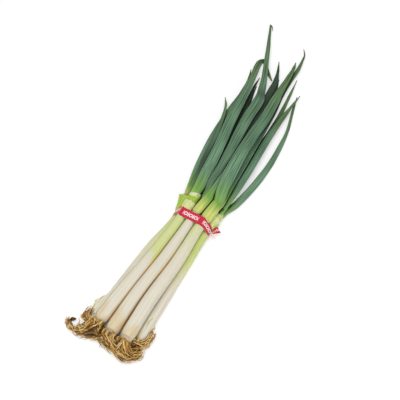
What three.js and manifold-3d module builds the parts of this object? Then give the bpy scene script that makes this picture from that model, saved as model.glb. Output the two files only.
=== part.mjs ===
// A bunch of spring onions lying on a flat surface, tied round the shanks with a flat tape.
// Millimetres. +Y runs from the roots to the leaf tips, +X across the bunch and +Z up. The origin is the
// middle of the tape's underside, on the surface that the bunch lies on.
import * as THREE from "three";
import { mergeVertices } from "three/addons/utils/BufferGeometryUtils.js";
import Module from "manifold-3d";

const wasm = await Module();
wasm.setup();

// ---- driving dimensions
const STEM = 20; // a shank's usual diameter
const GAP = 0.35; // clearance between neighbouring pieces
const SQUEEZED = { width: 15.8, height: 16.4 }; // a shank's section inside the tape
const NECK = { width: 17.5, height: 14.5 }; // its section where the leaves part
const SHANK = { sides: 12, steps: 14 };
const LEAF = { sides: 10, stations: 15, thickness: 0.27, thinnest: 1 }; // thickness is over its width
const AIR = { above: 0.9, beside: 1.2 }; // what a leaf keeps clear of those that it lies on
const ROOT = { radius: 0.9, segments: 5, air: 0.7, tries: 3000, sliver: 0.03 };
const PLATE = { share: 0.84, depth: 0.55 }; // the root plate's width over the shank's, its depth over its radius
const TAPE = { width: 15, middle: 1.3, thickness: 1, runs: 44, pinch: 2, endSteps: 10, upperTurn: 50, lowerTurn: 12 };

// Heights of the shanks' axes: four lie underneath and three in the hollows between them.
const LOW = { shank: STEM / 2 - 0.35, tie: TAPE.thickness + GAP + SQUEEZED.height / 2, neck: 7.65 };
const HIGH = { shank: LOW.shank + 18.4, waist: LOW.shank + 17, tie: LOW.tie + 15.3, neck: LOW.neck + 16.6 };

// Each plant's axis: x and y at the root plate, in two places below the tape, under it and at the neck.
// Size and waist are its width there over STEM's, at the root end and in the second place.
// Its roots end on a fan between two angles, "across" to the sides of the plate and "beyond" it.
const plants = [
  { name: "1", level: LOW, size: 0.94, waist: 0.86, axis: [[-39.5, -204], [-36.7, -150], [-32.8, -70], [-25, 0], [-32, 42]],
    roots: { fan: [150, 235], across: 34, beyond: 24, count: 30 } },
  { name: "2", level: LOW, size: 0.98, waist: 0.9, axis: [[-17, -210], [-14.6, -150], [-12, -70], [-8.3, 0], [-12, 40]],
    roots: { fan: [200, 300], across: 22, beyond: 22, count: 16 } },
  { name: "3", level: LOW, size: 0.98, waist: 0.9, axis: [[7.5, -211], [7.2, -150], [8, -70], [8.3, 0], [9, 38]],
    roots: { fan: [230, 340], across: 22, beyond: 22, count: 16 } },
  { name: "4", level: LOW, size: 0.85, waist: 0.8, axis: [[29.3, -202], [27.6, -150], [26, -70], [24.6, 0], [29, 42]],
    roots: { fan: [-60, 60], across: 16, beyond: 26, count: 24 } },
  { name: "5", level: HIGH, size: 1, waist: 0.8, axis: [[-29, -210], [-25, -150], [-17.9, -70], [-15.4, 0], [-17.5, 49]],
    roots: { fan: [182, 282], across: 45, beyond: 20, count: 28 } },
  { name: "6", level: HIGH, size: 1, waist: 0.9, axis: [[-5.5, -218], [-4.6, -150], [0.2, -70], [0.8, 0], [2.5, 46]],
    roots: { fan: [200, 330], across: 26, beyond: 18, count: 28 } },
  { name: "7", level: HIGH, size: 0.95, waist: 0.88, axis: [[18, -215], [16.4, -150], [18.9, -70], [17, 0], [22.5, 41]],
    roots: { fan: [235, 345], across: 24, beyond: 23, count: 28 } },
];

// Each leaf, from the lowest in the heap to the topmost. Its base sits "side" and "lift" off the middle of
// its plant's neck and is "base" wide. The blade is rolled by some degrees, and its route is x, y and width.
const leaves = [
  { name: "1c", lift: -4.6, side: 0, base: 12, roll: 4,
    route: [[-38.5, 90, 13], [-46.5, 150, 13], [-50.5, 210, 10], [-52.5, 260, 5], [-53.5, 292, 1.4]] },
  { name: "2b", lift: -3, side: 0, base: 12, roll: -6,
    route: [[-12.5, 90, 13], [-18.5, 150, 12], [-27.5, 213, 8], [-34.5, 250, 6], [-42.5, 298, 1.4]] },
  { name: "3c", lift: -4.6, side: 0, base: 12, roll: 5,
    route: [[11.5, 90, 14], [9.5, 150, 14], [5.5, 210, 12], [1.5, 262, 8], [-2.5, 320, 1.4]] },
  { name: "3b", lift: 0, side: -2, base: 12, roll: -8,
    route: [[4.5, 90, 14], [-0.5, 150, 13], [-6.5, 210, 10], [-11.5, 262, 7], [-9.5, 305, 4.5], [-15.5, 330, 1.3]] },
  { name: "2a", lift: 3, side: 0, base: 12, roll: 10,
    route: [[-18.5, 90, 15], [-24.5, 150, 14], [-31.5, 205, 11], [-38.5, 255, 8], [-44.5, 292, 5], [-46.5, 318, 1.4]] },
  { name: "3a", lift: 4.6, side: 2, base: 11, roll: 12,
    route: [[18.5, 80, 13], [23.5, 120, 14], [23.5, 182, 13], [23.5, 225, 11], [21, 262, 8], [17, 302, 5.5], [12, 345, 1.2]] },
  { name: "4b", lift: -3, side: 2, base: 11, roll: -10,
    route: [[39.5, 64, 11], [45.3, 90, 11.5], [49.6, 120, 11.5], [52.2, 159, 10], [51, 195, 8.5], [46.8, 236, 5.5], [36, 279, 4.5],
      [28.5, 311, 1.2]] },
  { name: "4a", lift: 3, side: -1, base: 12, roll: 6,
    route: [[31.5, 85, 13], [31.5, 119, 13], [29.5, 165, 12.5], [27.5, 213, 12], [28.5, 255, 9], [30.5, 288, 5], [32.5, 314, 1.3]] },
  { name: "1a", lift: 0, side: 0, base: 12, roll: -8,
    route: [[-39.8, 72, 10.5], [-46.3, 110, 12.5], [-52.3, 165, 14], [-54.5, 225, 13], [-55.5, 272, 9], [-60.5, 303, 5], [-68.5, 327, 1.4]] },
  { name: "1b", lift: 4.8, side: 2, base: 9, roll: 14,
    route: [[-37.5, 90, 9], [-43.5, 125, 9], [-48.5, 164, 8], [-56.5, 200, 6.5], [-65.5, 229, 4.5], [-78, 250, 1.2]] },
  { name: "7b", lift: -3, side: 0, base: 12, roll: 8,
    route: [[20.5, 80, 14], [17.5, 130, 14], [14.5, 190, 13], [10.5, 250, 11.5], [5, 300, 8.5], [3.2, 338, 8], [4.5, 366, 7.5],
      [0.5, 394, 4.5], [-2.5, 404, 2.5], [-9, 415, 1.2]] },
  { name: "5b", lift: -3, side: 0, base: 12, roll: 6,
    route: [[-28.5, 90, 14], [-35.5, 140, 14], [-42.5, 195, 12], [-46.5, 240, 9], [-49.5, 290, 1.4]] },
  { name: "6b", lift: -3, side: 1, base: 12, roll: -8,
    route: [[3.5, 75, 13], [0.5, 118, 13], [-2.5, 162, 12], [-6.5, 210, 11], [-12.5, 262, 10.5], [-15.5, 300, 11], [-18, 322, 9],
      [-24, 342, 5], [-34, 367, 1.4]] },
  { name: "5a", lift: 3, side: 0, base: 14, roll: -6,
    route: [[-23.2, 83, 16.5], [-32.3, 140, 16.5], [-41.5, 209, 15.5], [-48.5, 269, 12.5], [-55, 314, 10], [-61.5, 338, 9],
      [-62, 349, 7], [-55, 349, 5.5], [-43, 340, 4.5], [-25.5, 326, 1.2]] },
  { name: "6a", lift: 3, side: -4.5, base: 8.5, roll: 5,
    route: [[-6.4, 74, 11.5], [-8.2, 101, 14.4], [-12.2, 145, 18.4], [-15.8, 184, 20.6], [-19.8, 225, 21], [-20.8, 262, 20.6],
      [-25, 283, 15.5], [-40, 323, 10], [-53.5, 356, 9.5], [-66, 387, 8.5], [-76, 412, 5.5], [-82, 427, 4.2], [-88, 441, 1.6]] },
  { name: "6c", lift: 3, side: 4.3, base: 8, roll: 2,
    route: [[5.4, 75, 11.5], [6.5, 118, 12], [5, 165, 10], [3.5, 215, 7], [3, 255, 3], [2.5, 282, 1.4]] },
  { name: "7a", lift: 3, side: -1, base: 14, roll: 4,
    route: [[17.5, 68, 19], [13.5, 97, 21.5], [10.5, 129, 21], [7.5, 186, 20], [6.5, 230, 20], [3.5, 268, 18], [1, 300, 13],
      [-1, 335, 9.5], [-3.5, 362, 6], [-7.5, 380, 1.4]] },
];

// ---- small tools
const UP = new THREE.Vector3(0, 0, 1);
const mix = THREE.MathUtils.lerp;
const smooth = THREE.MathUtils.smoothstep;
const radians = THREE.MathUtils.degToRad;
const through = (points) => new THREE.CatmullRomCurve3(points, false, "centripetal");

// A value that changes smoothly along a curve.
function valueAlong(values, t) {
  const place = t * (values.length - 1);
  const i = Math.min(Math.floor(place), values.length - 2);
  return mix(values[i], values[i + 1], smooth(place - i, 0, 1));
}

// The frame at t on a curve: its point, the way along it, the way across it (level) and the way up from it.
function frameAt(curve, t) {
  const at = curve.getPoint(t);
  const along = curve.getTangent(t);
  const across = new THREE.Vector3().crossVectors(along, UP).normalize();
  const up = new THREE.Vector3().crossVectors(across, along);
  return { at, along, across, up };
}

// A closed tube with flat ends, whose section at t is given by outline(t, angle) as [across, up] in the
// frame of a curve. No point of it goes below the surface that the bunch lies on.
function tube(curve, sides, steps, outline, turn = 0) {
  const geometry = new THREE.CylinderGeometry(1, 1, 1, sides, steps);
  const position = geometry.attributes.position;
  const point = new THREE.Vector3();
  for (let i = 0; i < position.count; i++) {
    point.fromBufferAttribute(position, i);
    const t = THREE.MathUtils.clamp(point.y + 0.5, 0, 1);
    const onAxis = Math.hypot(point.x, point.z) < 0.5;
    const [a, b] = onAxis ? [0, 0] : outline(t, Math.atan2(point.x, point.z) + turn);
    const { at, across, up } = frameAt(curve, t);
    at.addScaledVector(across, a).addScaledVector(up, b);
    position.setXYZ(i, at.x, at.y, Math.max(at.z, 0));
  }
  return positionsOnly(geometry);
}

function positionsOnly(geometry) {
  geometry.deleteAttribute("normal");
  geometry.deleteAttribute("uv");
  return mergeVertices(geometry, 1e-4);
}

// manifold-3d joins the pieces of a node that is built from several.
function solid(geometry) {
  return new wasm.Manifold(
    new wasm.Mesh({
      numProp: 3,
      vertProperties: new Float32Array(geometry.attributes.position.array),
      triVerts: new Uint32Array(geometry.index.array),
    }),
  );
}
function geometryOf(manifold) {
  const { vertProperties, triVerts } = manifold.getMesh();
  return new THREE.BufferGeometry()
    .setAttribute("position", new THREE.BufferAttribute(vertProperties, 3))
    .setIndex(new THREE.BufferAttribute(triVerts, 1));
}

function seeded(seed) {
  let state = seed;
  return () => {
    state = (state * 1664525 + 1013904223) % 4294967296;
    return state / 4294967296;
  };
}

// ---- shanks: the white stems of rolled leaf sheaths, from the root plate to where the leaves part
function shankAxis({ level, size, axis }) {
  const lying = level === LOW ? level.shank * size : level.shank;
  const heights = [lying, lying, level.waist ?? lying, level.tie, level.neck];
  return through(axis.map(([x, y], i) => new THREE.Vector3(x, y, heights[i])));
}
function shankSize({ size, waist }, t) {
  const below = [size * 0.98, size, waist].map((share) => STEM * share);
  return {
    width: valueAlong([...below, SQUEEZED.width, NECK.width], t),
    height: valueAlong([...below, SQUEEZED.height, NECK.height], t),
  };
}
function shank(plant) {
  const outline = (t, angle) => {
    const { width, height } = shankSize(plant, t);
    return [(Math.sin(angle) * width) / 2, (Math.cos(angle) * height) / 2];
  };
  return tube(shankAxis(plant), SHANK.sides, SHANK.steps, outline, Math.PI / SHANK.sides);
}

// ---- leaves: long flattened tubes that settle on each other
// The heap's height over the surface, kept in square cells.
const CELL = 1.5;
const heap = new Map();
const cellOf = (x, y) => `${Math.round(x / CELL)},${Math.round(y / CELL)}`;
const heapAt = (x, y) => heap.get(cellOf(x, y)) ?? 0;

// The lens section: half its thickness at u, which is -1 on one edge and 1 on the other.
const bulge = (u) => Math.pow(Math.max(0, 1 - u * u), 0.7);
function leafSize({ base, route }, t) {
  const width = valueAlong([base, base, ...route.map((p) => p[2])], t);
  return { width, thickness: Math.max(LEAF.thinnest, width * LEAF.thickness) };
}

// The leaf's route seen from above: it leaves the neck along the shank's axis.
function leafPlan({ name, side, route }) {
  const plant = plants.find((p) => p.name === name[0]);
  const { at, along, across } = frameAt(shankAxis(plant), 1);
  at.addScaledVector(across, side);
  const start = at.clone().addScaledVector(along, GAP * 3);
  const next = at.clone().addScaledVector(along, 9);
  const points = [start, next, ...route.map(([x, y]) => new THREE.Vector3(x, y, 0))];
  points.forEach((p) => p.setZ(0));
  return { plan: through(points), neck: plant.level.neck };
}

// The leaf's axis after it has settled: it leaves the neck level and comes down until something holds it.
function settle(leaf) {
  const { plan, neck } = leafPlan(leaf);
  const fine = 4;
  const count = fine * LEAF.stations;
  const tilt = radians(leaf.roll);
  const places = Array.from({ length: count + 1 }, (_, i) => {
    const t = i / count;
    return { t, ...frameAt(plan, t), ...leafSize(leaf, t) };
  });
  const rise = (p, u, side) => (Math.sin(tilt) * u * p.width + side * Math.cos(tilt) * bulge(u) * p.thickness) / 2;
  const acrossBlade = Array.from({ length: 9 }, (_, i) => i / 4 - 1);
  const held = places.map((p) =>
    Math.max(
      ...acrossBlade.map((u) => {
        const reach = u * (p.width / 2 + AIR.beside);
        return heapAt(p.at.x + p.across.x * reach, p.at.y + p.across.y * reach) + AIR.above - rise(p, u, -1);
      }),
    ),
  );
  const floor = held.map((_, i) => Math.max(...held.slice(Math.max(0, i - fine + 1), i + fine)));
  const start = neck + leaf.lift;
  let z = places.map((p, i) => (i < 3 ? start : Math.max(floor[i], mix(start, 3, smooth(p.t, 0.02, 0.7)))));
  for (let pass = 0; pass < 60; pass++) {
    z = z.map((v, i) => (i < 3 || i === count ? v : Math.max(floor[i], v / 2 + (z[i - 1] + z[i + 1]) / 4)));
  }
  places.forEach((p, i) => {
    const before = places[Math.max(0, i - 1)];
    for (let u = -1; u <= 1.001; u += 0.1) {
      for (let back = 0; back < 1; back += 0.25) {
        const at = p.at.clone().lerp(before.at, back).addScaledVector(p.across, (u * p.width) / 2);
        const top = z[i] + rise(p, u, 1);
        if (top > heapAt(at.x, at.y)) heap.set(cellOf(at.x, at.y), top);
      }
    }
  });
  return through(places.filter((_, i) => i % fine === 0).map((p, i) => p.at.clone().setZ(z[i * fine])));
}

function leafBlade(leaf) {
  const axis = settle(leaf);
  const [c, s] = [Math.cos(radians(leaf.roll)), Math.sin(radians(leaf.roll))];
  const outline = (t, angle) => {
    const { width, thickness } = leafSize(leaf, t);
    const u = Math.sin(angle);
    const a = (u * width) / 2;
    const b = (Math.sign(Math.cos(angle)) * bulge(u) * thickness) / 2;
    return [a * c - b * s, a * s + b * c];
  };
  return tube(axis, LEAF.sides, LEAF.stations, outline, Math.PI / 2);
}

// ---- roots: a root plate with wiry roots, matted and swept to the sides where the plants were stood down
const strands = []; // points on the roots made so far, with their plant and how far along the root they are
const axisPoints = new Map(plants.map((plant) => [plant, shankAxis(plant).getPoints(120).slice(0, 60)]));

function isClear(plant, points) {
  return points.every((p, i) => {
    const share = i / points.length;
    for (const s of strands) {
      const air = s.plant === plant ? 0.2 : ROOT.air;
      if (s.plant === plant && (share < 0.08 || s.share < 0.08)) continue;
      if (s.at.distanceTo(p) < 2 * ROOT.radius + air) return false;
    }
    for (const [other, axis] of axisPoints) {
      const side = (STEM * other.size) / 2 + ROOT.radius + ROOT.air;
      if (p.y > axis[0].y - 1.2 && axis.some((a) => a.distanceTo(p) < side)) return false;
      if (other !== plant && axis[0].distanceTo(p) < side) return false;
    }
    return true;
  });
}

// One root: it leaves its own place on the plate and wanders to a place on the fan.
function rootCurve(plant, centre, random) {
  const { fan, across, beyond } = plant.roots;
  const jitter = (size) => new THREE.Vector3(random() - 0.5, random() - 0.5, random() - 0.5).multiplyScalar(size);
  const spot = random() * 2 * Math.PI;
  const out = Math.sqrt(random()) * STEM * plant.size * 0.36;
  const away = new THREE.Vector3(Math.cos(spot), 0, Math.sin(spot));
  const start = centre.clone().addScaledVector(away, out).setY(centre.y - 2.4);
  const aim = radians(mix(fan[0], fan[1], random()));
  const reach = 0.55 + 0.45 * random();
  const end = centre.clone().add(new THREE.Vector3(Math.cos(aim) * across * reach, Math.sin(aim) * beyond * reach, 0));
  end.z = mix(ROOT.radius + 0.3, centre.z + 4, random() * random());
  const leave = start.clone().addScaledVector(away, 2).add(new THREE.Vector3(0, -4 - 3 * random(), 0));
  const points = [start, leave];
  for (const share of [0.4, 0.7, 1]) points.push(leave.clone().lerp(end, share).add(jitter(9)));
  points.forEach((p) => p.setZ(Math.max(p.z, ROOT.radius + 0.3)));
  return through(points);
}

// A dome that is flat on top and bulges towards -Y, which is where the roots leave.
function plateDome(radius) {
  const profile = [new THREE.Vector2(0, -radius * PLATE.depth)];
  for (const angle of [67.5, 45, 22.5, 0]) {
    const a = radians(angle);
    profile.push(new THREE.Vector2(radius * Math.cos(a), -radius * PLATE.depth * Math.sin(a)));
  }
  profile.push(new THREE.Vector2(0, 0));
  return positionsOnly(new THREE.LatheGeometry(profile, SHANK.sides));
}

function rootTuft(plant, order) {
  const random = seeded(71 + 13 * order);
  const { at: centre, along } = frameAt(shankAxis(plant), 0);
  const turn = new THREE.Quaternion().setFromUnitVectors(new THREE.Vector3(0, 1, 0), along);
  const seat = centre.clone().addScaledVector(along, -GAP);
  const dome = plateDome((STEM * plant.size * PLATE.share) / 2);
  let tuft = solid(dome.applyQuaternion(turn).translate(seat.x, seat.y, seat.z));
  const outline = (t, angle) => {
    const r = mix(ROOT.radius, ROOT.radius * 0.55, t);
    return [Math.sin(angle) * r, Math.cos(angle) * r];
  };
  let made = 0;
  for (let i = 0; i < ROOT.tries && made < plant.roots.count; i++) {
    const curve = rootCurve(plant, centre, random);
    const points = curve.getPoints(36).slice(4);
    if (!isClear(plant, points)) continue;
    tuft = tuft.add(solid(tube(curve, 3, ROOT.segments, outline)));
    points.forEach((at, j) => strands.push({ plant, at, share: j / points.length }));
    made++;
  }
  // Where roots cross they can close off a pocket between them, which is left filled, and the joins leave
  // slivers, which are merged away.
  const bodies = tuft.simplify(ROOT.sliver).decompose();
  return geometryOf(bodies.reduce((most, body) => (body.volume() > most.volume() ? body : most)));
}

// ---- the tape, drawn tight round all seven shanks, its two ends twisted together on one side
// The shanks' sections under the tape, as the middle and the half width and height of each.
const tied = plants.flatMap((plant) => {
  const axis = shankAxis(plant);
  return Array.from({ length: 101 }, (_, i) => i / 100)
    .map((t) => ({ at: axis.getPoint(t), ...shankSize(plant, t) }))
    .filter(({ at }) => Math.abs(at.y - TAPE.middle) < TAPE.width / 2 + 2)
    .map(({ at, width, height }) => ({ x: at.x, z: at.z, a: width / 2, b: height / 2 }));
});

// A loop of straight runs that touch the sections from outside, "offset" away from them.
function tapeLoop(offset, lowest) {
  const sides = Array.from({ length: TAPE.runs }, (_, i) => {
    const angle = (i / TAPE.runs) * 2 * Math.PI;
    const [nx, nz] = [Math.cos(angle), Math.sin(angle)];
    const reach = Math.max(...tied.map((c) => c.x * nx + c.z * nz + Math.hypot(c.a * nx, c.b * nz)));
    return { nx, nz, reach: reach + offset };
  });
  return sides.map((side, i) => {
    const next = sides[(i + 1) % sides.length];
    const det = side.nx * next.nz - side.nz * next.nx;
    const x = (side.reach * next.nz - next.reach * side.nz) / det;
    const z = (side.nx * next.reach - next.nx * side.reach) / det;
    return new THREE.Vector2(x, Math.max(z, lowest));
  });
}

// One end of the tape, upper (side 1) or lower (side -1): pinched where it leaves the loop at "edge", it runs
// out beside the bunch and fans open as it turns.
function tapeEnd(edge, side) {
  const points = [[0.9, 0, 0.7], [3.2, 1, 0.7], [5.5, 4.5, 1.1], [8, 10, 2.4], [10, 16, 4]];
  const route = through(points.map(([out, y, lift]) => new THREE.Vector3(edge.x + out, TAPE.middle + y, edge.y + side * lift)));
  return Array.from({ length: TAPE.endSteps + 1 }, (_, i) => {
    const t = i / TAPE.endSteps;
    const { at, along, across, up } = frameAt(route, t);
    const turn = radians((side > 0 ? TAPE.upperTurn : TAPE.lowerTurn) * t);
    const wide = across.clone().multiplyScalar(-Math.cos(turn)).addScaledVector(up, Math.sin(turn));
    const normal = up.multiplyScalar(Math.cos(turn)).addScaledVector(across, Math.sin(turn)).multiplyScalar(side);
    if (i === 0) normal.add(along);
    return { at, wide, normal, half: valueAlong([3, 2.6, 3.4, 5, 6], t) };
  });
}

// The tape is one strip, from the tip of its upper end, round the bunch and out to the tip of the lower one.
function tape() {
  const inner = tapeLoop(GAP, TAPE.thickness);
  const outer = tapeLoop(GAP + TAPE.thickness, 0);
  const loop = inner.map((a, i) => {
    const b = outer[i];
    const open = Math.min(i, TAPE.runs - 1 - i) - TAPE.pinch;
    return {
      at: new THREE.Vector3((a.x + b.x) / 2, TAPE.middle, (a.y + b.y) / 2),
      wide: new THREE.Vector3(0, 1, 0),
      normal: new THREE.Vector3(b.x - a.x, 0, b.y - a.y).divideScalar(TAPE.thickness),
      half: (TAPE.width / 2) * mix(0.6, 1, smooth(open, 0, 3)),
    };
  });
  const edge = new THREE.Vector2(Math.max(...inner.map((p) => p.x)) + TAPE.thickness / 2, LOW.tie);
  const strip = [
    ...tapeEnd(edge, 1).reverse(),
    ...loop.slice(TAPE.pinch, TAPE.runs - TAPE.pinch),
    ...tapeEnd(edge, -1),
  ];
  const geometry = new THREE.BoxGeometry(1, 1, 1, 1, strip.length - 1, 1);
  const position = geometry.attributes.position;
  for (let i = 0; i < position.count; i++) {
    const { at, wide, normal, half } = strip[Math.round((position.getY(i) + 0.5) * (strip.length - 1))];
    const point = at.clone().addScaledVector(wide, 2 * half * position.getX(i));
    point.addScaledVector(normal, TAPE.thickness * position.getZ(i));
    position.setXYZ(i, point.x, point.y, point.z);
  }
  return positionsOnly(geometry);
}

// ---- the bunch
const pale = new THREE.MeshStandardMaterial({ color: 0xe4e2cf, roughness: 0.45 });
const green = new THREE.MeshStandardMaterial({ color: 0x4c7a55, roughness: 0.5 });
const brown = new THREE.MeshStandardMaterial({ color: 0xa98146, roughness: 0.9 });
const red = new THREE.MeshStandardMaterial({ color: 0xc8283c, roughness: 0.4 });

const bunch = new THREE.Group();
function add(name, geometry, material) {
  const mesh = new THREE.Mesh(geometry, material);
  mesh.name = name;
  bunch.add(mesh);
}
plants.forEach((plant) => add(`shank_${plant.name}`, shank(plant), pale));
leaves.forEach((leaf) => add(`leaf_${leaf.name}`, leafBlade(leaf), green));
plants.forEach((plant, i) => add(`roots_${plant.name}`, rootTuft(plant, i), brown));
add("tape", tape(), red);

export default bunch;
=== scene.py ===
import math
import random
from functools import partial

import bpy
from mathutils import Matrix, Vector
from mathutils.bvhtree import BVHTree
from mathutils.noise import noise


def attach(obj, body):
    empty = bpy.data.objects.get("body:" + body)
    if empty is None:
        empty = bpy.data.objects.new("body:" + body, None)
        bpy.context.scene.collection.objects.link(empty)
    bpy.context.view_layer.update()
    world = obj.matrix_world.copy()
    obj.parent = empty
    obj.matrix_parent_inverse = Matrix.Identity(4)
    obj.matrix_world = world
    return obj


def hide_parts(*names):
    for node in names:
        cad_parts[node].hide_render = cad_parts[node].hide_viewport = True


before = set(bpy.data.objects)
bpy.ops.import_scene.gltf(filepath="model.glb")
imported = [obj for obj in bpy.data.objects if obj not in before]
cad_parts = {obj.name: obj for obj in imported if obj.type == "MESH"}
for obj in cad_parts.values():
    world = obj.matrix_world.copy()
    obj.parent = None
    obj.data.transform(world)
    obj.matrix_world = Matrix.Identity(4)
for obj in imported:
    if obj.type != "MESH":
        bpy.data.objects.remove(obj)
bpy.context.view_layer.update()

MM = 0.001

# ---------------------------------------------------------------- table, light and camera
# The bunch lies on a white light table, which glows faintly, under one large soft lamp, with weaker ones
# from the sides. The camera looks down on it from the root end, on its right. All is in metres here.
TABLE_SIDE = 9.0
TABLE_WHITE = "C8C8C7"
TABLE_GLOW = 0.42
VIEW_FROM = Vector((0.3172, -0.5295, 1.0685))
VIEW_TO = Vector((-0.0136, 0.0504, 0.0))
VIEW_LENS = 72.0
VIEW_SENSOR = 36.0
VIEW_END = 20.0
LAMPS = {
    "lamp_overhead": {"at": (0.0, -0.35, 1.75), "size": 1.0, "power": 16.0},
    "lamp_root_end": {"at": (0.6, -1.6, 1.2), "size": 1.4, "power": 4.5},
    "lamp_right": {"at": (1.7, 0.6, 0.9), "size": 1.2, "power": 3.0},
}
SKY_STRENGTH = 0.62


def linear(hex_colour):
    """An sRGB hex colour as the linear RGBA that a socket takes."""
    parts = [int(hex_colour[i : i + 2], 16) / 255 for i in (0, 2, 4)]
    return (*[c / 12.92 if c <= 0.04045 else ((c + 0.055) / 1.055) ** 2.4 for c in parts], 1.0)


def node(shader, kind, inputs=(), output=0, stops=(), to=None, **settings):
    """Adds a node and returns one of its outputs, which to links to one of the shader's sockets. Its inputs
    are values, hex colours or other outputs, by order or by name, and stops are the colours of a ramp."""
    tree = shader.id_data
    made = tree.nodes.new(f"ShaderNode{kind}")
    for name, value in settings.items():
        setattr(made, name, value)
    for name, value in (inputs if isinstance(inputs, dict) else dict(enumerate(inputs))).items():
        if isinstance(value, bpy.types.NodeSocket):
            tree.links.new(value, made.inputs[name])
        else:
            made.inputs[name].default_value = linear(value) if isinstance(value, str) else value
    for place, _ in stops[2:]:
        made.color_ramp.elements.new(place)
    for i, (place, colour) in enumerate(stops):
        made.color_ramp.elements[i].position = place
        made.color_ramp.elements[i].color = linear(colour)
    if to:
        tree.links.new(made.outputs[output], shader.inputs[to])
    return made.outputs[output]


def new_material(name, **constants):
    """A material with a plain Principled shader, whose constant sockets are set here, and the function that
    adds nodes to it."""
    material = bpy.data.materials.new(name)
    material.use_nodes = True
    shader = material.node_tree.nodes["Principled BSDF"]
    for socket, value in constants.items():
        shader.inputs[socket.replace("_", " ")].default_value = value
    return material, partial(node, shader)


def start_piece():
    """Leaves object mode with nothing selected, so that the next operator acts on the new primitive alone."""
    if bpy.context.object and bpy.context.object.mode != "OBJECT":
        bpy.ops.object.mode_set(mode="OBJECT")
    bpy.ops.object.select_all(action="DESELECT")


# Acrylic lit from behind has an even white glow, on which shadows are faint.
start_piece()
bpy.ops.mesh.primitive_plane_add(size=TABLE_SIDE)
table = bpy.context.object
table.name = "table"
acrylic = new_material("white_backlit_acrylic", Roughness=0.6, Base_Color=linear(TABLE_WHITE),
                       Emission_Color=linear("FFFFFF"), Emission_Strength=TABLE_GLOW)[0]
table.data.materials.append(acrylic)

for name, lamp in LAMPS.items():
    bpy.ops.object.light_add(type="AREA", location=lamp["at"])
    light = bpy.context.object
    light.name = name
    light.data.size = lamp["size"]
    light.data.energy = lamp["power"]
    light.rotation_euler = (-Vector(lamp["at"])).to_track_quat("-Z", "Y").to_euler()

world = bpy.data.worlds.new("studio")
world.use_nodes = True
world.node_tree.nodes["Background"].inputs["Color"].default_value = linear("FFFFFF")
world.node_tree.nodes["Background"].inputs["Strength"].default_value = SKY_STRENGTH
bpy.context.scene.world = world
bpy.context.scene.view_settings.view_transform = "Standard"

bpy.ops.object.camera_add(location=VIEW_FROM)
camera = bpy.context.object
camera.data.lens = VIEW_LENS
camera.data.sensor_width = VIEW_SENSOR
camera.data.clip_end = VIEW_END
camera.rotation_euler = (VIEW_TO - VIEW_FROM).to_track_quat("-Z", "Y").to_euler()
bpy.context.scene.camera = camera

# ---------------------------------------------------------------- shanks
# The blanched stems: leaf sheaths rolled tight round each other, white where soil covered them and green
# above it. They are smooth and waxy with fine veins along them, and yellowed by dry skin at the root end.
#
# Sizes are in millimetres from here on. A plant's axis is x and y at its root disc, at two places below the
# tape, under the tape and at its neck. Its size is its width over STEM at the first two, and its waist at
# the third. Its left line is how dark the line drawn along its left side is. Its green starts at a y, is full
# at another, and is as strong as the last number.
PLANTS = {
    "1": {"size": 0.94, "waist": 0.86, "left_line": 0.2, "green": (-120, 10, 0.4),
          "axis": [(-39.5, -204), (-36.7, -150), (-32.8, -70), (-25, 0), (-32, 42)]},
    "2": {"size": 0.98, "waist": 0.9, "left_line": 0.2, "green": (-60, 60, 0.5),
          "axis": [(-17, -210), (-14.6, -150), (-12, -70), (-8.3, 0), (-12, 40)]},
    "3": {"size": 0.98, "waist": 0.9, "left_line": 0.2, "green": (-80, 50, 0.5),
          "axis": [(7.5, -211), (7.2, -150), (8, -70), (8.3, 0), (9, 38)]},
    "4": {"size": 0.85, "waist": 0.8, "left_line": 0.3, "green": (-122, -20, 0.6),
          "axis": [(29.3, -202), (27.6, -150), (26, -70), (24.6, 0), (29, 42)]},
    "5": {"size": 1.03, "waist": 0.82, "left_line": 0.85, "green": (-104, -80, 0.4),
          "axis": [(-29, -210), (-24.2, -150), (-17.9, -70), (-15.4, 0), (-17.5, 49)]},
    "6": {"size": 1, "waist": 0.9, "left_line": 0.3, "green": (0, 40, 0.5),
          "axis": [(-5.5, -218), (-4.6, -150), (0.2, -70), (0.8, 0), (2.5, 46)]},
    "7": {"size": 0.99, "waist": 0.88, "left_line": 0.3, "green": (-90, 40, 0.45),
          "axis": [(18, -215), (16.0, -150), (18.6, -70), (17, 0), (22.5, 41)]},
}
STEM = 20.0
SQUEEZED = 16.0
NECK = 16.0
AT_TAPE = 0.75  # how far along a stem's route its point under the tape is
SHANK_SIDES = 40
SHANK_RINGS = 150
SHANK_POWERS = [2.0, 2.8, 2.8, 2.8, 2.8, 2.3, 2.0, 2.0]  # along the stem: 2 is a round section, 3 is squarer
ROOT_DOME = 13
ROOT_SWELL = {"at": 17, "reach": 9, "share": 0.05}
SHANK_WOBBLE = {"pitch": 25, "share": 0.012}
TOP_TAPER = {"from": 0.93, "share": 0.45}
VEIN_PITCH = 1.31
WANDER = 45  # how far the sheath's colours stray along the stem
ROOT_STAIN = (-210, -170)  # the y where the stain is full and where it ends, and so for the dirt
ROOT_DIRT = (-212, -196)
# The shade painted into the grooves between the stems runs through these colours along the stem, amber low
# down and green near the neck.
GROOVE_SHADE_RUN = (-190, -5)  # the y where the first of the groove's colours is and where the last is
GROOVE_SHADE_COLOURS = [(0.0, "D8AC60"), (0.25, "B88436"), (0.5, "F0C868"), (0.75, "DCD468"), (1.0, "A8B848")]
SHANK_COLOURS = {"cream": "D5CFBF", "lime": "C6CE88", "green": "A9BE4C", "stain": "C6AE76", "dirt": "8A6230",
                 "vein": "CDCBB2", "left_line": "8C8250"}
SMOOTH = {"interpolation_type": "SMOOTHSTEP"}
BLEND = {"data_type": "RGBA", "output": 2}  # a Mix node of colours: share 0, and the two colours 6 and 7
TINT = {**BLEND, "blend_type": "MULTIPLY"}


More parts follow.
